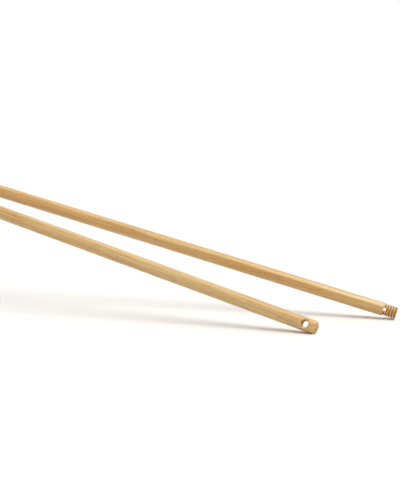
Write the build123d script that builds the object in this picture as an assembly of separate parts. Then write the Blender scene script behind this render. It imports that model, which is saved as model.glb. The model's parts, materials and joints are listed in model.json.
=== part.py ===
from build123d import *
import os
from math import atan2, degrees, radians, sin

# A pair of equal turned wooden handles for brooms and mops. Each is one piece of wood, with a
# coarse screw thread at one end and a rounded end with a hanging hole at the other. They lie flat
# in a narrow V, the opposite way round from each other.
# Millimetres, +Z up. The origin is under the middle of the pair's box, on the surface that the
# handles lie on. +X runs along the V from its narrow end to its wide end.

# The turned handle
handle_length = 1200.0
shaft_diameter = 24.0
dome_height = 6.2  # how far the rounded end reaches past the straight shaft
dome_corner_radius = 2.0  # where the rounded end turns into the shaft

# The screw end
thread_length = 24.0
shoulder_step = 0.7  # how far the crests lie below the shaft
thread_pitch = 4.8
groove_depth = 2.0
groove_mouth = 2.9  # width of the groove at the crests
groove_root = 1.2  # width of the groove at its bottom
cutter_overlap = 0.6  # how far the groove cutter stands proud of the crests
least_cut_share = 0.3  # of a groove cutter, the share that has to lie inside the handle
tip_chamfer = 1.4
shoulder_round = 0.5

# The cross hole at the foot of the thread, for a locking nail or screw
lock_hole_diameter = 5.0
lock_hole_offset = 2.0  # from the shoulder towards the tip

# The hanging hole
hang_hole_diameter = 12.0
hang_hole_from_end = 22.6
hang_hole_rim_round = 1.8

# How the pair lies
spread_angle = 6.0  # between the two handles
narrow_gap = 24.0  # clear space between the shafts where they come closest
end_stagger = 107.0  # how much nearer to the V's point the second handle lies
thread_out_roll = 23.0  # how far the cross holes tip up from level
hang_hole_out_roll = 28.5

shaft_radius = shaft_diameter / 2
thread_radius = shaft_radius - shoulder_step
thread_root_radius = thread_radius - groove_depth
shoulder_x = handle_length - thread_length
lock_hole_x = shoulder_x + lock_hole_offset
corner_height = shaft_radius - dome_corner_radius
dome_crown_radius = (dome_height**2 + corner_height**2 - dome_corner_radius**2) / (
    2 * (dome_height - dome_corner_radius)
)


def turned_blank():
    """The handle as it leaves the lathe, along +X from its rounded end at x = 0."""
    meet_angle = degrees(atan2(corner_height, dome_height - dome_crown_radius))
    with BuildPart() as blank:
        with BuildSketch(Plane.XZ):
            with BuildLine():
                corner = CenterArc(
                    (dome_height, corner_height), dome_corner_radius, 90, meet_angle - 90
                )
                crown = CenterArc(
                    (dome_crown_radius, 0), dome_crown_radius, meet_angle, 180 - meet_angle
                )
                Polyline(
                    corner @ 0,
                    (shoulder_x, shaft_radius),
                    (shoulder_x, thread_radius),
                    (handle_length - tip_chamfer, thread_radius),
                    (handle_length, thread_radius - tip_chamfer),
                    (handle_length, 0),
                    crown @ 1,
                )
            make_face()
        revolve(axis=Axis.X)
        shaft_rims = blank.edges().filter_by(GeomType.CIRCLE)
        shoulder_rim = shaft_rims.filter_by_position(Axis.X, shoulder_x, shoulder_x).sort_by(
            SortBy.RADIUS
        )[-1]
        fillet(shoulder_rim, shoulder_round)
    return blank.part


def groove_section():
    """The cutter's section, which stands across the thread with +Z as the thread's axis."""
    flank_slope = (groove_mouth - groove_root) / 2 / groove_depth
    outer_radius = thread_radius + cutter_overlap
    outer_half = groove_mouth / 2 + cutter_overlap * flank_slope
    with BuildSketch(Plane.XZ) as section:
        with BuildLine():
            Polyline(
                (thread_root_radius, -groove_root / 2),
                (outer_radius, -outer_half),
                (outer_radius, outer_half),
                (thread_root_radius, groove_root / 2),
                close=True,
            )
        make_face()
    return section.sketch


def thread_cuts():
    """The left-hand groove from the cross hole to the tip, and its half turn without a lead.

    The half turn runs round the foot of the thread and joins the two mouths of the cross hole.
    """
    section = groove_section()
    reach = thread_length - lock_hole_offset + thread_pitch
    path = Helix(thread_pitch, reach, thread_root_radius, lefthand=True)
    lead = sweep(section, path=path, is_frenet=True)
    foot = revolve(section, axis=Axis.Z, revolution_arc=180)
    seat = Plane(origin=(lock_hole_x, 0, 0), x_dir=(0, 0, 1), z_dir=(1, 0, 0))
    return [seat * lead, seat * foot]


def drill(x, diameter):
    """A drill that goes through the handle at x, along the handle's own Z."""
    return Pos(x, 0, 0) * Cylinder(diameter / 2, 2 * shaft_diameter)


def handle():
    """One finished handle."""
    body = turned_blank() - drill(hang_hole_from_end, hang_hole_diameter)
    hang_hole_rims = body.edges().filter_by(GeomType.BSPLINE)
    body = fillet(hang_hole_rims, hang_hole_rim_round)
    for cut in thread_cuts():
        uncut_volume = body.volume
        body = body - cut
        if uncut_volume - body.volume < least_cut_share * cut.volume:
            raise RuntimeError("a thread cutter took no groove out of the handle")
    return body - drill(lock_hole_x, lock_hole_diameter)


def laid(piece, turn, roll, start, screw_end_out):
    """A handle laid at turn degrees from the V's middle line, start mm out from the V's point.

    Its cross holes tip up by roll degrees from level, on the side of the second handle.
    """
    tip_down = 90 - roll  # from the upright cross holes of a new handle
    if screw_end_out:
        outwards = Rot(tip_down, 0, 0)
    else:
        outwards = Pos(handle_length, 0, 0) * Rot(0, 0, 180) * Rot(-tip_down, 0, 0)
    return Rot(0, 0, turn) * Pos(start, 0, shaft_radius) * outwards * piece


def handle_pair():
    """Both handles in their places, by the names that they are stored under."""
    narrow_end = (narrow_gap + shaft_diameter) / sin(radians(spread_angle))
    piece = handle()
    pair = {
        "thread_out_handle": laid(
            piece, spread_angle / 2, thread_out_roll, narrow_end, screw_end_out=True
        ),
        "hang_hole_out_handle": laid(
            piece,
            -spread_angle / 2,
            hang_hole_out_roll,
            narrow_end - end_stagger,
            screw_end_out=False,
        ),
    }
    middle = Compound(list(pair.values())).bounding_box().center()
    return {node: Pos(-middle.X, -middle.Y, 0) * body for node, body in pair.items()}


os.makedirs("parts", exist_ok=True)
for node, body in handle_pair().items():
    export_step(body, f"parts/{node}.step")
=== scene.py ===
import json
import math

import bpy
from mathutils import Euler, Matrix, Vector


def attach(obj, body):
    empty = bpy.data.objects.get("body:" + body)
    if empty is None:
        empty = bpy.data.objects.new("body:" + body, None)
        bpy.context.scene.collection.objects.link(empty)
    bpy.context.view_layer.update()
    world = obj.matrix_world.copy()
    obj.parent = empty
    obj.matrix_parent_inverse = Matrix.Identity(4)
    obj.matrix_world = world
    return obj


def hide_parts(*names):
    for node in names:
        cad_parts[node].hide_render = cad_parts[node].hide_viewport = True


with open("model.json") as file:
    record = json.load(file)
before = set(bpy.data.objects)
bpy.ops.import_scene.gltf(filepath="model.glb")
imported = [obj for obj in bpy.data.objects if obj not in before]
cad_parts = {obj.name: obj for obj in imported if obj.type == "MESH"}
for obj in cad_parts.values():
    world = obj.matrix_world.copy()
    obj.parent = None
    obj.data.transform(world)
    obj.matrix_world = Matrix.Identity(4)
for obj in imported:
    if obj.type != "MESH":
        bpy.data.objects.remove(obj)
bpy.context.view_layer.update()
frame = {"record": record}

bl_info = {
    "name": "Turned broom handles",
    "version": (1, 0, 0),
    "blender": (4, 5, 0),
    "location": "3D View > Sidebar > Handles",
    "description": "A pair of lacquered screw-end handles, and the studio that shows them",
    "category": "Object",
}

MM = 0.001
FINE_STEP = math.radians(7.5)  # the most that a rounded surface turns from facet to facet
MOUNTS = {mount["name"]: mount for mount in frame["record"]["mounts"]}
HANDLES = ("thread_out", "hang_hole_out")  # the two bodies, and the start of their names

WOOD_ROUGHNESS = (0.36, 0.5)  # of lacquered wood, from the smoothest fibre to the coarsest
BARE_ROUGHNESS = 0.3  # what is added to it where the lacquer is missing
BARE_AND_SHADE_IN_HOLE = 0.7  # how much of the lacquer is missing on the hanging hole's wall, and how much painted shade it gets
CUT_SHADE_SHARE = 0.85  # how much of the cut colour, which is painted shade, shows on unlacquered wood
END_GRAIN_SHARE = 0.25  # how much of the streak colour shows on a handle's ends
HOLE_MASK_RIM_SHARE = 0.3  # how far out on the hanging hole's rim its mask begins


def mount_place(name):
    """The middle of a mount and the way it points, in the frame's metres."""
    mount = MOUNTS[name]
    return Vector(mount["pos_m"]), Vector(mount["axis"]).normalized()


def mount_size(name, key):
    """One of a mount's sizes, in metres."""
    return MOUNTS[name]["dims"][key] * MM


def thread_from(mount_name):
    """How far the middle of the thread lies along the handle from another mount."""
    thread, outwards = mount_place("thread_out_screw_thread")
    return (thread - mount_place(mount_name)[0]).dot(outwards)


SHAFT_RADIUS = mount_size("thread_out_shaft", "r_mm")
THREAD_RADIUS = mount_size("thread_out_screw_thread", "r_mm")
THREAD_LENGTH = mount_size("thread_out_screw_thread", "length_mm")
HANG_RADIUS = mount_size("thread_out_hang_hole", "r_mm")
LOCK_RADIUS = mount_size("thread_out_lock_hole", "r_mm")
THREAD_FROM_HANG = thread_from("thread_out_hang_hole")
THREAD_FROM_LOCK = thread_from("thread_out_lock_hole")


# ------------------------------------------------------------------ settings


def length_setting(name, description, default):
    """A length that a user can change."""
    return bpy.props.FloatProperty(
        name=name, description=description, default=default, min=0, precision=5, unit="LENGTH"
    )


def colour_setting(name, description, default):
    """A colour that a user can change, in linear red, green and blue."""
    return bpy.props.FloatVectorProperty(
        name=name, description=description, default=default, size=3, min=0, max=1, subtype="COLOR"
    )


def share_setting(name, description, default):
    """A share from 0 to 1 that a user can change."""
    return bpy.props.FloatProperty(
        name=name, description=description, default=default, min=0, max=1, subtype="FACTOR"
    )


class HandleShape(bpy.types.PropertyGroup):
    """Sizes of a turned handle that the frame's mounts don't state."""

    around: bpy.props.IntProperty(
        name="Steps around", description="Faces around the shaft", default=96, min=24
    )
    end_from_hang_hole: length_setting(
        "End from hanging hole", "From the hanging hole's middle to the rounded end", 22.6 * MM
    )
    dome_height: length_setting(
        "Dome height", "How far the rounded end reaches past the straight shaft", 6.2 * MM
    )
    dome_corner: length_setting(
        "Dome corner", "Radius where the rounded end turns into the shaft", 2 * MM
    )
    pitch: length_setting("Thread pitch", "Advance of the groove in one turn", 4.8 * MM)
    groove_depth: length_setting("Groove depth", "From the crests to the groove's bottom", 2 * MM)
    groove_mouth: length_setting("Groove mouth", "Width of the groove at the crests", 2.9 * MM)
    groove_root: length_setting("Groove root", "Width of the groove at its bottom", 1.2 * MM)
    groove_round: length_setting("Groove rounding", "Radius in the groove's corners", 0.3 * MM)
    crest_round: length_setting("Crest rounding", "Radius on the edges of the crests", 0.4 * MM)
    tip_chamfer: length_setting("Tip chamfer", "Bevel on the end of the thread", 1.4 * MM)
    edge_round: length_setting("Edge rounding", "Radius on the bevel's edges", 0.3 * MM)
    shoulder_round: length_setting("Shoulder rounding", "Radius above the thread", 0.5 * MM)
    rim_round: length_setting("Rim rounding", "Radius on the hanging hole's rims", 1.8 * MM)


class WoodFinish(bpy.types.PropertyGroup):
    """Colours and gloss of the lacquered wood."""

    pale: colour_setting("Pale wood", "The lightest wood", (0.75, 0.485, 0.18))
    honey: colour_setting("Honey wood", "The main colour of the wood", (0.71, 0.35, 0.057))
    streak: colour_setting("Grain streak", "Growth lines", (0.55, 0.235, 0.042))
    fleck: colour_setting("Fleck", "Small dark flecks", (0.24, 0.10, 0.03))
    # The cut colour is painted shade in the thread's groove and on the hanging hole's wall, where
    # the wood is unlacquered.
    cut: colour_setting("Cut wood", "Bare wood in the groove and the holes", (0.44, 0.125, 0.016))
    ring_width: length_setting("Ring width", "Distance between growth lines", 2.6 * MM)
    lacquer: share_setting("Lacquer", "Weight of the clear lacquer", 1.0)
    lacquer_roughness: share_setting("Lacquer roughness", "Roughness of the lacquer", 0.28)
    lacquer_ior: bpy.props.FloatProperty(
        name="Lacquer IOR", description="Refraction of the lacquer", default=1.65, min=1
    )
    sheen_level: share_setting("Wood shine", "Specular level of the sealed wood", 1.0)
    end_fleck: bpy.props.FloatVectorProperty(
        name="End fleck", description="Where one handle's rounded end has a dark fleck",
        default=(2.8 * MM, 3.4 * MM, 8.3 * MM), size=3, subtype="TRANSLATION",
    )
    end_fleck_size: length_setting("End fleck size", "Its length", 5.4 * MM)


class StudioSettings(bpy.types.PropertyGroup):
    """The floor, the light and the camera."""

    floor_fall: bpy.props.FloatProperty(
        name="Floor fall", description="How steeply the floor falls away under the handles",
        default=math.radians(18.4), subtype="ANGLE",
    )
    floor_size: length_setting("Floor size", "Side of the square floor", 14)
    floor_white: colour_setting("Floor white", "The floor's colour", (0.93, 0.875, 0.87))
    floor_bounce: share_setting("Floor bounce", "How much light the floor throws back", 1.0)
    # Painted shade: the floor as the lacquer mirrors it is dimmed, in place of its shadow under the
    # handles.
    mirrored_floor_shade: share_setting("Mirrored floor", "The same, as the lacquer mirrors it", 0.36)
    overhead: bpy.props.FloatProperty(
        name="Overhead light", description="Brightness of the soft box above the floor",
        default=2.55,
    )
    overhead_from: bpy.props.FloatVectorProperty(
        name="Overhead from", description="Which way the middle of the soft box lies",
        default=(0.3, 0.04, 1.0), size=3, subtype="DIRECTION",
    )
    overhead_inner: bpy.props.FloatProperty(
        name="Overhead inner angle", description="Where the soft box starts to fade",
        default=math.radians(17), subtype="ANGLE",
    )
    overhead_outer: bpy.props.FloatProperty(
        name="Overhead outer angle", description="Where the soft box has faded",
        default=math.radians(40), subtype="ANGLE",
    )
    back_wall: bpy.props.FloatProperty(
        name="Back wall", description="Brightness of the wall behind the handles", default=0.8
    )
    room: bpy.props.FloatProperty(
        name="Room light", description="Brightness of the rest of the room", default=0.2
    )
    overhead_colour: colour_setting("Overhead colour", "The soft box's colour", (0.87, 1.0, 0.97))
    sun: bpy.props.FloatProperty(
        name="Shadow light", description="Strength of the lamp that gives the shadows their width",
        default=0.8,
    )
    sun_width: bpy.props.FloatProperty(
        name="Shadow light width", description="The larger, the softer the shadows' edges",
        default=math.radians(45), subtype="ANGLE",
    )
    side_lamp: bpy.props.FloatProperty(
        name="Side lamp", description="Power of the small lamp in front, in watts", default=4
    )
    camera_place: bpy.props.FloatVectorProperty(
        name="Camera place", description="Where the camera stands",
        default=(0.7357, -1.6017, 0.7280), size=3, subtype="TRANSLATION",
    )
    camera_turn: bpy.props.FloatVectorProperty(
        name="Camera turn", description="The camera's rotation",
        default=(math.radians(67.179), math.radians(-11.350), math.radians(20.178)),
        size=3, subtype="EULER",
    )
    lens: bpy.props.FloatProperty(
        name="Lens", description="Focal length in millimetres", default=72, min=10
    )


# ------------------------------------------------------------------ workshop tools


def clear_selection():
    """Nothing selected, in object mode."""
    if bpy.context.mode != "OBJECT":
        bpy.ops.object.mode_set(mode="OBJECT")
    bpy.ops.object.select_all(action="DESELECT")


def pick(piece):
    """Selects one object alone and makes it active."""
    clear_selection()
    piece.select_set(True)
    bpy.context.view_layer.objects.active = piece


def rounded_line(corners, steps=None):
    """Points along a line through corners (across, up, rounding), turned at each rounding."""
    points = [Vector(corners[0][:2])]
    for before, corner, after in zip(corners, corners[1:], corners[2:]):
        place, rounding = Vector(corner[:2]), corner[2]
        coming = (place - Vector(before[:2])).normalized()
        going = (Vector(after[:2]) - place).normalized()
        turn = math.atan2(coming.x * going.y - coming.y * going.x, coming.dot(going))
        if rounding == 0:
            points.append(place)
            continue
        side = math.copysign(1, turn)
        start = place - coming * rounding * math.tan(abs(turn) / 2)
        centre = start + Vector((-coming.y, coming.x)) * side * rounding
        parts = steps or max(1, math.ceil(abs(turn) / FINE_STEP))
        for part in range(parts + 1):
            points.append(centre + Matrix.Rotation(turn * part / parts, 2) @ (start - centre))
    points.append(Vector(corners[-1][:2]))
    return points


def add_mesh(name, points, faces, edges=()):
    """A new object from points and their faces or edges."""
    mesh = bpy.data.meshes.new(name)
    mesh.from_pydata(points, edges, faces)
    piece = bpy.data.objects.new(name, mesh)
    bpy.context.scene.collection.objects.link(piece)
    return piece


def turned(stations, around):
    """A closed turned solid that stands on +Z, from stations of (height, radius)."""
    (height, radius), *others = stations
    clear_selection()
    bpy.ops.mesh.primitive_circle_add(
        vertices=around, radius=radius, fill_type="NGON", location=(0, 0, height)
    )
    solid = bpy.context.object
    bpy.ops.object.transform_apply(location=True, rotation=True, scale=True)
    bpy.ops.object.mode_set(mode="EDIT")
    for next_height, next_radius in others:
        rise = (0, 0, next_height - height)
        bpy.ops.mesh.extrude_region_move(TRANSFORM_OT_translate={"value": rise})
        widen = next_radius / radius
        bpy.ops.transform.resize(value=(widen, widen, 1), center_override=(0, 0, next_height))
        height, radius = next_height, next_radius
    bpy.ops.object.mode_set(mode="OBJECT")
    return solid


def turn_upright_to_x(piece):
    """Lays a solid that stands on +Z along +X."""
    piece.data.transform(Matrix.Rotation(math.pi / 2, 4, "Y"))


def apply_modifier(piece, modifier):
    """Makes a modifier's shape part of the mesh."""
    pick(piece)
    bpy.ops.object.modifier_apply(modifier=modifier.name)


def cut_away(piece, cutter):
    """Takes the cutter's shape out of the piece, and throws the cutter away."""
    cut = piece.modifiers.new("cut", "BOOLEAN")
    cut.operation = "DIFFERENCE"
    cut.solver = "EXACT"
    cut.object = cutter
    apply_modifier(piece, cut)
    bpy.data.objects.remove(cutter, do_unlink=True)


# ------------------------------------------------------------------ the turned handle


def handle_length(shape):
    """From the rounded end to the tip of the thread."""
    return shape.end_from_hang_hole + THREAD_FROM_HANG + THREAD_LENGTH / 2


def dome_stations(shape):
    """The rounded end's outline: a shallow crown that turns into the shaft by a tighter arc."""
    corner_height = SHAFT_RADIUS - shape.dome_corner
    crown = (shape.dome_height**2 + corner_height**2 - shape.dome_corner**2) / (
        2 * (shape.dome_height - shape.dome_corner)
    )
    meet = math.atan2(corner_height, shape.dome_height - crown)
    arcs = (
        (crown, 0, crown, math.radians(179), meet, 6),
        (shape.dome_height, corner_height, shape.dome_corner, meet, math.pi / 2, 11),
    )
    stations = []
    for centre_x, centre_radius, radius, start, end, steps in arcs:
        for step in range(1 if stations else 0, steps + 1):
            angle = start + (end - start) * step / steps
            stations.append(
                (centre_x + radius * math.cos(angle), centre_radius + radius * math.sin(angle))
            )
    return stations


def shaft_stations(start, end, step):
    """Even rings along the shaft, without its two ends."""
    rings = max(1, round((end - start) / step))
    return [(start + (end - start) * ring / rings, SHAFT_RADIUS) for ring in range(1, rings)]


def turn_blank(shape):
    """The handle as it leaves the lathe, along +X from its rounded end at x = 0."""
    length = handle_length(shape)
    shoulder = length - THREAD_LENGTH
    hole_end = shape.end_from_hang_hole + 2.2 * HANG_RADIUS
    screw_end = rounded_line(
        [
            (shoulder - 20 * MM, SHAFT_RADIUS),
            (shoulder, SHAFT_RADIUS, shape.shoulder_round),
            (shoulder, THREAD_RADIUS, 0),
            (length - shape.tip_chamfer, THREAD_RADIUS, shape.edge_round),
            (length, THREAD_RADIUS - shape.tip_chamfer, shape.edge_round),
            (length, 0.3 * THREAD_RADIUS),
        ]
    )
    stations = dome_stations(shape)
    stations += shaft_stations(shape.dome_height, hole_end, 1.6 * MM)
    stations += [(hole_end, SHAFT_RADIUS)]
    stations += shaft_stations(hole_end, shoulder - 20 * MM, 25 * MM)
    stations += [tuple(point) for point in screw_end]
    blank = turned(stations, shape.around)
    turn_upright_to_x(blank)
    return blank


def groove_section(shape):
    """The groove's section as (along, radius) points, with its crests' edges rounded over."""
    lift = math.radians(10)  # how far short of level the rounding stops, for a clean cut
    flank = math.atan2(shape.groove_depth, (shape.groove_mouth - shape.groove_root) / 2)
    reach = shape.crest_round * math.tan((flank - lift) / 2)
    mouth_radius = THREAD_RADIUS - reach * math.sin(lift) - 0.005 * MM
    root_radius = THREAD_RADIUS - shape.groove_depth
    brim = reach + 0.15 * MM
    half = [
        (0, root_radius),
        (shape.groove_root / 2, root_radius, shape.groove_round),
        (shape.groove_mouth / 2, mouth_radius, shape.crest_round),
        (shape.groove_mouth / 2 + brim, mouth_radius + brim * math.tan(lift), 0),
        (shape.groove_mouth / 2 + brim, THREAD_RADIUS + 0.6 * MM),
    ]
    right = rounded_line(half)
    return [(-along, up) for along, up in reversed(right[1:])] + [tuple(p) for p in right]


def groove_cutter(shape, turn, advance, lock_x):
    """A cutter that carries the groove's section round the handle from its upper side.

    It goes round by turn, towards -Y where turn is above 0, and moves along by advance.
    """
    section = groove_section(shape)
    cutter = add_mesh(
        "groove_cutter",
        [(lock_x + along, 0, up) for along, up in section],
        [],
        [(corner, (corner + 1) % len(section)) for corner in range(len(section))],
    )
    wind = cutter.modifiers.new("wind", "SCREW")
    wind.axis = "X"
    wind.angle = turn
    wind.screw_offset = advance
    wind.steps = wind.render_steps = math.ceil(abs(turn) / FINE_STEP)
    wind.use_normal_calculate = True
    apply_modifier(cutter, wind)
    bpy.ops.object.mode_set(mode="EDIT")
    bpy.ops.mesh.select_all(action="SELECT")
    bpy.ops.mesh.fill_holes(sides=0)
    bpy.ops.mesh.select_all(action="SELECT")
    bpy.ops.mesh.normals_make_consistent(inside=False)
    bpy.ops.object.mode_set(mode="OBJECT")
    return cutter


def surface_height(across):
    """How high the shaft's surface stands over its middle plane, this far across it."""
    return math.sqrt(SHAFT_RADIUS**2 - across**2)


def rim_profile(shape, around):
    """Half of the hanging hole's section as (out, up) points, at an angle round the hole.

    The wall turns into the shaft's curved surface by the same rolled radius all the way round.
    """
    side = math.sin(around)
    rim = surface_height(HANG_RADIUS * side)
    out = HANG_RADIUS + 1.4 * shape.rim_round
    fall = math.atan2(rim - surface_height(out * side), out - HANG_RADIUS)
    going = math.radians(9) - fall  # a little short of the surface's own slope, for a clean cut
    reach = shape.rim_round * math.tan((math.pi / 2 - going) / 2)
    rim -= reach * math.sin(math.radians(9)) + 0.01 * MM
    brim = reach * math.cos(going) + 0.35 * MM
    return rounded_line(
        [
            (HANG_RADIUS, 0),
            (HANG_RADIUS, rim, shape.rim_round),
            (HANG_RADIUS + brim, rim + brim * math.tan(going), 0),
            (HANG_RADIUS + brim, SHAFT_RADIUS + 3 * MM),
        ],
        steps=12,
    )[1:]


def hang_hole_cutter(shape):
    """A drill with a brim at each end that rounds the hole's saddle-shaped rims over."""
    columns = 72
    points = []
    for column in range(columns):
        around = 2 * math.pi * column / columns
        upper = rim_profile(shape, around)
        section = [(out, -up) for out, up in reversed(upper)] + [tuple(p) for p in upper]
        points += [
            (shape.end_from_hang_hole + out * math.cos(around), out * math.sin(around), up)
            for out, up in section
        ]
    rows = len(points) // columns
    walls = [
        (column * rows + row, after * rows + row, after * rows + row + 1, column * rows + row + 1)
        for column, after in ((c, (c + 1) % columns) for c in range(columns))
        for row in range(rows - 1)
    ]
    lids = [
        [column * rows for column in reversed(range(columns))],
        [column * rows + rows - 1 for column in range(columns)],
    ]
    return add_mesh("hang_hole_cutter", points, walls + lids)


def lock_hole_cutter(lock_x):
    """The drill for the small cross hole at the foot of the thread."""
    reach = SHAFT_RADIUS + 3 * MM
    cutter = turned([(-reach, LOCK_RADIUS), (reach, LOCK_RADIUS)], 44)
    off_line = Matrix.Rotation(math.radians(2.3), 4, "Z")  # no facet lies on the groove's own
    cutter.data.transform(Matrix.Translation((lock_x, 0, 0)) @ off_line)
    return cutter


def open_edges(piece):
    """How many of a mesh's edges don't join exactly two faces."""
    faces_at = dict.fromkeys(piece.data.edge_keys, 0)
    for face in piece.data.polygons:
        for edge in face.edge_keys:
            faces_at[edge] += 1
    return sum(count != 2 for count in faces_at.values())


def make_handle(shape):
    """One finished handle, along +X with its cross holes upright."""
    length = handle_length(shape)
    lock_x = length - THREAD_LENGTH / 2 - THREAD_FROM_LOCK
    run = length - lock_x + shape.pitch
    turns = run / shape.pitch
    handle = turn_blank(shape)
    cut_away(handle, hang_hole_cutter(shape))
    cut_away(handle, lock_hole_cutter(lock_x))
    cut_away(handle, groove_cutter(shape, -2 * math.pi * turns, run, lock_x))
    cut_away(handle, groove_cutter(shape, math.pi, 0, lock_x))
    pick(handle)
    bpy.ops.object.mode_set(mode="EDIT")
    bpy.ops.mesh.select_all(action="SELECT")
    bpy.ops.mesh.remove_doubles(threshold=0.002 * MM)
    bpy.ops.mesh.normals_make_consistent(inside=False)
    bpy.ops.object.mode_set(mode="OBJECT")
    bpy.ops.object.shade_smooth_by_angle(angle=1.15 * FINE_STEP)
    bad_edges = open_edges(handle)
    if bad_edges:
        raise RuntimeError(f"the handle's mesh has {bad_edges} edges without exactly two faces")
    return handle


def handle_lie(name, shape):
    """How a handle lies in the frame, from its thread and its hanging hole."""
    thread, along = mount_place(f"{name}_screw_thread")
    _, up = mount_place(f"{name}_hang_hole")
    start = thread - along * (handle_length(shape) - THREAD_LENGTH / 2)
    turn = Matrix((along, up.cross(along), up)).transposed()
    return Matrix.Translation(start) @ turn.to_4x4()


# ------------------------------------------------------------------ the wood's finish


class Nodes:
    """A material's or a group's nodes, added and joined in few words."""

    def __init__(self, tree):
        self.tree = tree

    def add(self, kind, settings=None, **inputs):
        """Adds a node; inputs are values or other nodes' outputs, by socket name or number."""
        node = self.tree.nodes.new(kind)
        for key, value in (settings or {}).items():
            setattr(node, key, value)
        for key, value in inputs.items():
            self.join(node.inputs[key.replace("_", " ")], value)
        return node

    def join(self, socket, value):
        """Gives a socket a value, or an output to follow."""
        if isinstance(value, bpy.types.NodeSocket):
            self.tree.links.new(value, socket)
        else:
            socket.default_value = value

    def maths(self, operation, *values, clamp=False):
        """A Math node on one, two or three numbers."""
        node = self.add("ShaderNodeMath", {"operation": operation, "use_clamp": clamp})
        for socket, value in zip(node.inputs, values):
            self.join(socket, value)
        return node.outputs[0]

    def ramp(self, value, low, high, start=0.0, end=1.0):
        """A smooth step from start to end while value goes from low to high."""
        node = self.add("ShaderNodeMapRange", {"interpolation_type": "SMOOTHSTEP"})
        for socket, number in zip(node.inputs, (value, low, high, start, end)):
            self.join(socket, number)
        return node.outputs[0]

    def mix(self, share, first, second):
        """A colour between two, by share."""
        node = self.add("ShaderNodeMix", {"data_type": "RGBA"})
        self.join(node.inputs["Factor"], share)
        self.join(node.inputs[6], first)
        self.join(node.inputs[7], second)
        return node.outputs[2]

    def stretched(self, vector, scale):
        """The place, scaled along each axis."""
        node = self.add("ShaderNodeVectorMath", {"operation": "MULTIPLY"})
        self.join(node.inputs[0], vector)
        self.join(node.inputs[1], scale)
        return node.outputs[0]

    def noise(self, vector, scale, detail=2.0, roughness=0.5):
        """Cloudy noise at a scale along each axis, as a number about 0.5."""
        node = self.add(
            "ShaderNodeTexNoise", Vector=self.stretched(vector, scale),
            Scale=1.0, Detail=detail, Roughness=roughness,
        )
        return node.outputs["Fac"]


def opaque(colour):
    """A colour property as a socket's four numbers."""
    return (*colour, 1.0)


def new_group(name, inputs, outputs):
    """A shader node group with named sockets, and the tools to fill it."""
    group = bpy.data.node_groups.new(name, "ShaderNodeTree")
    for in_out, sockets in (("INPUT", inputs), ("OUTPUT", outputs)):
        for socket_name, kind in sockets:
            group.interface.new_socket(
                name=socket_name, in_out=in_out, socket_type=f"NodeSocket{kind}"
            )
    nodes = Nodes(group)
    return nodes, nodes.add("NodeGroupInput").outputs, nodes.add("NodeGroupOutput").inputs


def grain_group():
    """Lengthwise grain of a straight-grained pale wood, in a handle's own coordinates."""
    nodes, given, out = new_group(
        "straight_grain",
        [("Place", "Vector"), ("Ring Scale", "Float"), ("Pale", "Color"), ("Honey", "Color"),
         ("Streak", "Color"), ("Fleck", "Color")],
        [("Color", "Color"), ("Fibre", "Float")],
    )
    place = given["Place"]
    sway = nodes.add(
        "ShaderNodeTexNoise", Vector=nodes.stretched(place, (2.2, 20, 20)),
        Scale=1.0, Detail=2.0,
    ).outputs["Color"]
    swayed = nodes.add("ShaderNodeVectorMath", {"operation": "MULTIPLY_ADD"})
    nodes.join(swayed.inputs[0], sway)
    nodes.join(swayed.inputs[1], (0, 0.014, 0.014))
    nodes.join(swayed.inputs[2], nodes.stretched(place, (0.004, 1, 1)))
    rings = nodes.add(
        "ShaderNodeTexWave",
        {"wave_type": "RINGS", "rings_direction": "X", "wave_profile": "SAW"},
        Vector=swayed.outputs[0], Scale=given["Ring Scale"], Distortion=1.2,
        Detail=2.0, Detail_Scale=0.6,
    ).outputs["Fac"]
    growth = nodes.maths("POWER", rings, 2.2)
    broad = nodes.noise(place, (2.6, 55, 55), 3.0)
    fibre = nodes.noise(place, (9, 430, 430), 3.0, 0.6)
    dashes = nodes.noise(place, (55, 520, 520), 2.0)
    body = nodes.mix(nodes.ramp(broad, 0.3, 0.7), given["Pale"], given["Honey"])
    lined = nodes.mix(
        nodes.maths("MULTIPLY", growth, nodes.ramp(broad, 0.25, 0.75, 0.25, 0.85)),
        body, given["Streak"],
    )
    fine = nodes.mix(nodes.ramp(fibre, 0.44, 0.66, 0.0, 0.6), lined, given["Streak"])
    flecked = nodes.mix(nodes.ramp(dashes, 0.62, 0.72, 0.0, 0.6), fine, given["Fleck"])
    nodes.join(out["Color"], flecked)
    nodes.join(out["Fibre"], fibre)
    return nodes.tree


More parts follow.
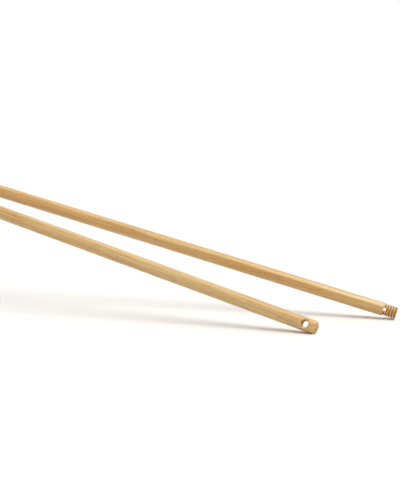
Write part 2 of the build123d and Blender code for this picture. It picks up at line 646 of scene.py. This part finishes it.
def cut_and_shade_group(shape):
    """Masks of a handle's cut surfaces: the groove, the hanging hole and the two ends; the groove's
    and the hole's masks also lay painted shade.
    """
    nodes, given, out = new_group(
        "cut_surfaces_and_shade", [("Place", "Vector")],
        [("Groove", "Float"), ("Hole", "Float"), ("End", "Float")],
    )
    length = handle_length(shape)
    split = nodes.add("ShaderNodeSeparateXYZ", Vector=given["Place"]).outputs
    from_axis = nodes.maths(
        "SQRT",
        nodes.maths(
            "MULTIPLY_ADD", split["Y"], split["Y"], nodes.maths("POWER", split["Z"], 2.0)
        ),
    )
    at_thread = nodes.maths("GREATER_THAN", split["X"], length - THREAD_LENGTH + 0.05 * MM)
    # Painted shade: the groove's mask grows from just under the crests to half the groove's depth,
    # so it is darker deeper in.
    depth = nodes.ramp(
        from_axis, THREAD_RADIUS - 0.1 * MM, THREAD_RADIUS - 0.5 * shape.groove_depth, 0.0, 1.0
    )
    nodes.join(out["Groove"], nodes.maths("MULTIPLY", at_thread, depth))
    from_hole = nodes.maths("SUBTRACT", split["X"], shape.end_from_hang_hole)
    hole_distance = nodes.maths(
        "SQRT",
        nodes.maths(
            "MULTIPLY_ADD", split["Y"], split["Y"],
            nodes.maths("MULTIPLY", from_hole, from_hole),
        ),
    )
    # Painted shade on the hanging hole's wall and the inner part of its rim.
    nodes.join(
        out["Hole"],
        nodes.ramp(
            hole_distance, HANG_RADIUS + HOLE_MASK_RIM_SHARE * shape.rim_round,
            HANG_RADIUS + 0.02 * MM, 0.0, 1.0,
        ),
    )
    dome = nodes.ramp(split["X"], shape.dome_height, 0.2 * shape.dome_height, 0.0, 1.0)
    tip = nodes.maths("GREATER_THAN", split["X"], length - 0.1 * MM)
    nodes.join(out["End"], nodes.maths("MAXIMUM", dome, tip))
    return nodes.tree


def place_group(nodes, tree, **inputs):
    """Puts a node group in a material with its own values."""
    node = nodes.add("ShaderNodeGroup", {"node_tree": tree})
    for key, value in inputs.items():
        nodes.join(node.inputs[key.replace("_", " ")], value)
    return node.outputs


def end_fleck_mask(nodes, handle_place, finish):
    """A small spot on the rounded end, longer across the handle than up and down."""
    away = nodes.add("ShaderNodeVectorMath", {"operation": "SUBTRACT"})
    nodes.join(away.inputs[0], handle_place)
    nodes.join(away.inputs[1], finish.end_fleck)
    length = nodes.add("ShaderNodeVectorMath", {"operation": "LENGTH"})
    nodes.join(length.inputs[0], nodes.stretched(away.outputs[0], (1.0, 1.6, 1.0)))
    half = finish.end_fleck_size / 2
    return nodes.ramp(length.outputs["Value"], 0.6 * half, half, 0.95, 0.0)


def lacquered_wood(name, lie, pith, groups, finish):
    """The clear-lacquered wood of one handle, whose grain follows how that handle lies."""
    grain, cuts = groups
    material = bpy.data.materials.new(f"{name}_lacquered_wood")
    material.use_nodes = True
    tree = material.node_tree
    tree.nodes.clear()
    nodes = Nodes(tree)
    frame_place = nodes.add("ShaderNodeTexCoord").outputs["Object"]
    handle_place = nodes.add(
        "ShaderNodeMapping", {"vector_type": "TEXTURE"}, Vector=frame_place,
        Location=lie.to_translation(), Rotation=lie.to_euler(),
    ).outputs[0]
    from_pith = nodes.add("ShaderNodeVectorMath", {"operation": "ADD"})
    nodes.join(from_pith.inputs[0], handle_place)
    nodes.join(from_pith.inputs[1], pith)
    wood = place_group(
        nodes, grain, Place=from_pith.outputs[0],
        Ring_Scale=2 * math.pi / (20 * finish.ring_width),
        Pale=opaque(finish.pale), Honey=opaque(finish.honey),
        Streak=opaque(finish.streak), Fleck=opaque(finish.fleck),
    )
    cut = place_group(nodes, cuts, Place=handle_place)
    # The groove's and the hole's masks: unlacquered, rougher wood, and painted shade in the cut
    # colour.
    bare_and_shaded = nodes.maths("MAXIMUM", cut["Groove"], nodes.maths("MULTIPLY", cut["Hole"], BARE_AND_SHADE_IN_HOLE))
    painted_shade_share = nodes.maths("MULTIPLY", bare_and_shaded, CUT_SHADE_SHARE)
    colour = nodes.mix(painted_shade_share, wood["Color"], opaque(finish.cut))
    end = nodes.maths("MULTIPLY", cut["End"], END_GRAIN_SHARE)
    colour = nodes.mix(end, colour, opaque(finish.streak))
    if name == "hang_hole_out":
        fleck = end_fleck_mask(nodes, handle_place, finish)
        colour = nodes.mix(fleck, colour, opaque(finish.fleck))
    roughness = nodes.maths(
        "ADD", nodes.ramp(wood["Fibre"], 0.3, 0.7, *WOOD_ROUGHNESS),
        nodes.maths("MULTIPLY", bare_and_shaded, BARE_ROUGHNESS),
    )
    bump = nodes.add("ShaderNodeBump", Height=wood["Fibre"], Distance=0.0001, Strength=0.5)
    shader = nodes.add(
        "ShaderNodeBsdfPrincipled", Base_Color=colour, Roughness=roughness,
        Normal=bump.outputs[0], Coat_Roughness=finish.lacquer_roughness,
        Coat_IOR=finish.lacquer_ior, Specular_IOR_Level=finish.sheen_level,
        Coat_Weight=nodes.maths("MULTIPLY", nodes.maths("SUBTRACT", 1.0, bare_and_shaded), finish.lacquer),
    )
    output = nodes.add("ShaderNodeOutputMaterial")
    nodes.join(output.inputs["Surface"], shader.outputs[0])
    return material


# ------------------------------------------------------------------ the studio


def floor_lie(studio):
    """The floor's turn and place: both right-hand ends touch it, and it falls away to the left."""
    tips = []
    for name, end in (("thread_out", "screw_thread"), ("hang_hole_out", "hang_hole")):
        _, along = mount_place(f"{name}_screw_thread")
        outwards = math.copysign(THREAD_LENGTH / 2, along.x) * along
        tips.append(mount_place(f"{name}_{end}")[0] + outwards - Vector((0, 0, SHAFT_RADIUS)))
    hinge = (tips[0] - tips[1]).normalized()
    return Matrix.Translation(tips[0]) @ Matrix.Rotation(-studio.floor_fall, 4, hinge)


def emptied(shader_tree):
    """A material's or the world's node tree, without the nodes that it came with."""
    shader_tree.nodes.clear()
    return Nodes(shader_tree)


def floor_paper(studio):
    """Matt white paper that is seen only from above; in the lacquer's reflections it is dimmer,
    painted shade in place of its shadow under the handles.
    """
    material = bpy.data.materials.new("floor_paper")
    material.use_nodes = True
    nodes = emptied(material.node_tree)
    ray = nodes.add("ShaderNodeLightPath").outputs
    bounce = nodes.mix(
        ray["Is Glossy Ray"], opaque([studio.floor_bounce] * 3), opaque([studio.mirrored_floor_shade] * 3)
    )
    white = nodes.mix(ray["Is Camera Ray"], bounce, opaque(studio.floor_white))
    paper = nodes.add("ShaderNodeBsdfDiffuse", Color=white)
    clear = nodes.add("ShaderNodeBsdfTransparent")
    below = nodes.add("ShaderNodeNewGeometry").outputs["Backfacing"]
    sides = nodes.add("ShaderNodeMixShader", Fac=below)
    nodes.join(sides.inputs[1], paper.outputs[0])
    nodes.join(sides.inputs[2], clear.outputs[0])
    output = nodes.add("ShaderNodeOutputMaterial")
    nodes.join(output.inputs["Surface"], sides.outputs[0])
    return material


def add_floor(studio):
    """The plain floor."""
    lie = floor_lie(studio)
    clear_selection()
    bpy.ops.mesh.primitive_plane_add(size=studio.floor_size)
    floor = bpy.context.object
    floor.name = "floor"
    floor.data.transform(lie)
    floor.data.materials.append(floor_paper(studio))


def add_room(studio):
    """A wide soft box straight above the floor, a pale wall behind, and a dim room."""
    world = bpy.data.worlds.new("room")
    bpy.context.scene.world = world
    world.use_nodes = True
    nodes = emptied(world.node_tree)
    up = Vector(studio.overhead_from).normalized()
    ahead = Euler(studio.camera_turn).to_matrix() @ Vector((0, 0, -1))
    behind = (ahead - up * ahead.dot(up)).normalized()
    direction = nodes.add("ShaderNodeTexCoord").outputs["Generated"]
    parts = []
    for axis in (up, behind):
        part = nodes.add("ShaderNodeVectorMath", {"operation": "DOT_PRODUCT"})
        nodes.join(part.inputs[0], direction)
        nodes.join(part.inputs[1], axis)
        parts.append(part.outputs["Value"])
    box = nodes.ramp(
        parts[0], math.cos(studio.overhead_outer), math.cos(studio.overhead_inner),
        0.0, studio.overhead,
    )
    wall = nodes.ramp(parts[1], 0.1, 0.75, studio.room, studio.back_wall)
    tint = nodes.mix(
        nodes.maths("DIVIDE", box, studio.overhead), (1, 1, 1, 1), opaque(studio.overhead_colour)
    )
    light = nodes.add("ShaderNodeBackground", Color=tint)
    nodes.join(light.inputs["Strength"], nodes.maths("ADD", box, wall))
    backdrop = nodes.add("ShaderNodeBackground", Color=(1, 1, 1, 1), Strength=1.02)
    seen = nodes.add("ShaderNodeLightPath").outputs["Is Camera Ray"]
    mixed = nodes.add("ShaderNodeMixShader", Fac=seen)
    nodes.join(mixed.inputs[1], light.outputs[0])
    nodes.join(mixed.inputs[2], backdrop.outputs[0])
    output = nodes.add("ShaderNodeOutputWorld")
    nodes.join(output.inputs["Surface"], mixed.outputs[0])


def add_shadow_light(studio):
    """A narrower light from overhead, which the lacquer doesn't mirror."""
    data = bpy.data.lights.new("shadow_light", "SUN")
    data.energy = studio.sun
    data.angle = studio.sun_width
    lamp = bpy.data.objects.new("shadow_light", data)
    lamp.rotation_euler = Vector((-0.1, -0.05, -1)).to_track_quat("-Z", "Y").to_euler()
    lamp.visible_glossy = False
    bpy.context.scene.collection.objects.link(lamp)


def add_side_lamp(studio):
    """A small soft lamp in front, whose thin reflection runs along the handles' far halves."""
    data = bpy.data.lights.new("side_lamp", "AREA")
    data.shape = "RECTANGLE"
    data.size, data.size_y = 0.9, 0.28
    data.energy = studio.side_lamp
    lamp = bpy.data.objects.new("side_lamp", data)
    lamp.location = (-1.0, -2.17, 1.0)
    aim = -lamp.location
    lamp.rotation_euler = aim.to_track_quat("-Z", "Y").to_euler()
    lamp.visible_camera = False
    bpy.context.scene.collection.objects.link(lamp)


def add_camera(studio):
    """The camera, a little above the floor and tipped so that the handles run downhill."""
    data = bpy.data.cameras.new("camera")
    data.lens = studio.lens
    data.sensor_width = 36
    camera = bpy.data.objects.new("camera", data)
    camera.location = studio.camera_place
    camera.rotation_euler = studio.camera_turn
    bpy.context.scene.collection.objects.link(camera)
    bpy.context.scene.camera = camera


# ------------------------------------------------------------------ the add-on


class HANDLES_OT_turn_pair(bpy.types.Operator):
    """Turns one handle, cuts its thread and holes, and lays two of it in their places"""

    bl_idname = "handles.turn_pair"
    bl_label = "Turn the pair of handles"

    def execute(self, context):
        shape = context.scene.handle_shape
        model = make_handle(shape)
        for name in HANDLES:
            handle = model.copy()
            handle.data = model.data.copy()
            handle.name = handle.data.name = f"{name}_turned_handle"
            context.scene.collection.objects.link(handle)
            handle.data.transform(handle_lie(name, shape))
            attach(handle, name)
            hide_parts(f"{name}_handle")
        bpy.data.objects.remove(model, do_unlink=True)
        return {"FINISHED"}


class HANDLES_OT_lacquer_wood(bpy.types.Operator):
    """Gives each handle its own lacquered wood"""

    bl_idname = "handles.lacquer_wood"
    bl_label = "Lacquer the wood"

    def execute(self, context):
        scene = context.scene
        shape, finish = scene.handle_shape, scene.wood_finish
        groups = grain_group(), cut_and_shade_group(shape)
        piths = {"thread_out": (0.3, 0.019, 0.031), "hang_hole_out": (2.7, -0.027, 0.016)}
        for name in HANDLES:
            wood = lacquered_wood(name, handle_lie(name, shape), piths[name], groups, finish)
            mesh = bpy.data.objects[f"{name}_turned_handle"].data
            mesh.materials.clear()
            mesh.materials.append(wood)
        return {"FINISHED"}


class HANDLES_OT_set_stage(bpy.types.Operator):
    """Sets up the floor, the light and the camera"""

    bl_idname = "handles.set_stage"
    bl_label = "Set the stage"

    def execute(self, context):
        studio = context.scene.studio
        context.scene.view_settings.view_transform = "Standard"
        add_floor(studio)
        add_room(studio)
        add_shadow_light(studio)
        add_side_lamp(studio)
        add_camera(studio)
        return {"FINISHED"}


class HANDLES_PT_workshop(bpy.types.Panel):
    """The workshop's steps and settings"""

    bl_idname = "HANDLES_PT_workshop"
    bl_label = "Turned broom handles"
    bl_space_type = "VIEW_3D"
    bl_region_type = "UI"
    bl_category = "Handles"

    def draw(self, context):
        for settings, operators in (
            (context.scene.handle_shape, (HANDLES_OT_turn_pair,)),
            (context.scene.wood_finish, (HANDLES_OT_lacquer_wood,)),
            (context.scene.studio, (HANDLES_OT_set_stage,)),
        ):
            box = self.layout.box()
            for key in settings.bl_rna.properties.keys():
                if key not in ("rna_type", "name"):
                    box.prop(settings, key)
            for operator in operators:
                box.operator(operator.bl_idname)


SETTINGS = {"handle_shape": HandleShape, "wood_finish": WoodFinish, "studio": StudioSettings}
CLASSES = (
    *SETTINGS.values(),
    HANDLES_OT_turn_pair,
    HANDLES_OT_lacquer_wood,
    HANDLES_OT_set_stage,
    HANDLES_PT_workshop,
)


def register():
    """Makes the settings, operators and panel known to Blender."""
    for cls in CLASSES:
        bpy.utils.register_class(cls)
    for name, group in SETTINGS.items():
        setattr(bpy.types.Scene, name, bpy.props.PointerProperty(type=group))


def unregister():
    """Takes them away again."""
    for name in SETTINGS:
        delattr(bpy.types.Scene, name)
    for cls in reversed(CLASSES):
        bpy.utils.unregister_class(cls)


def main():
    """Makes the whole scene."""
    register()
    bpy.ops.handles.set_stage()
    bpy.ops.handles.turn_pair()
    bpy.ops.handles.lacquer_wood()


if __name__ == "__main__":
    main()
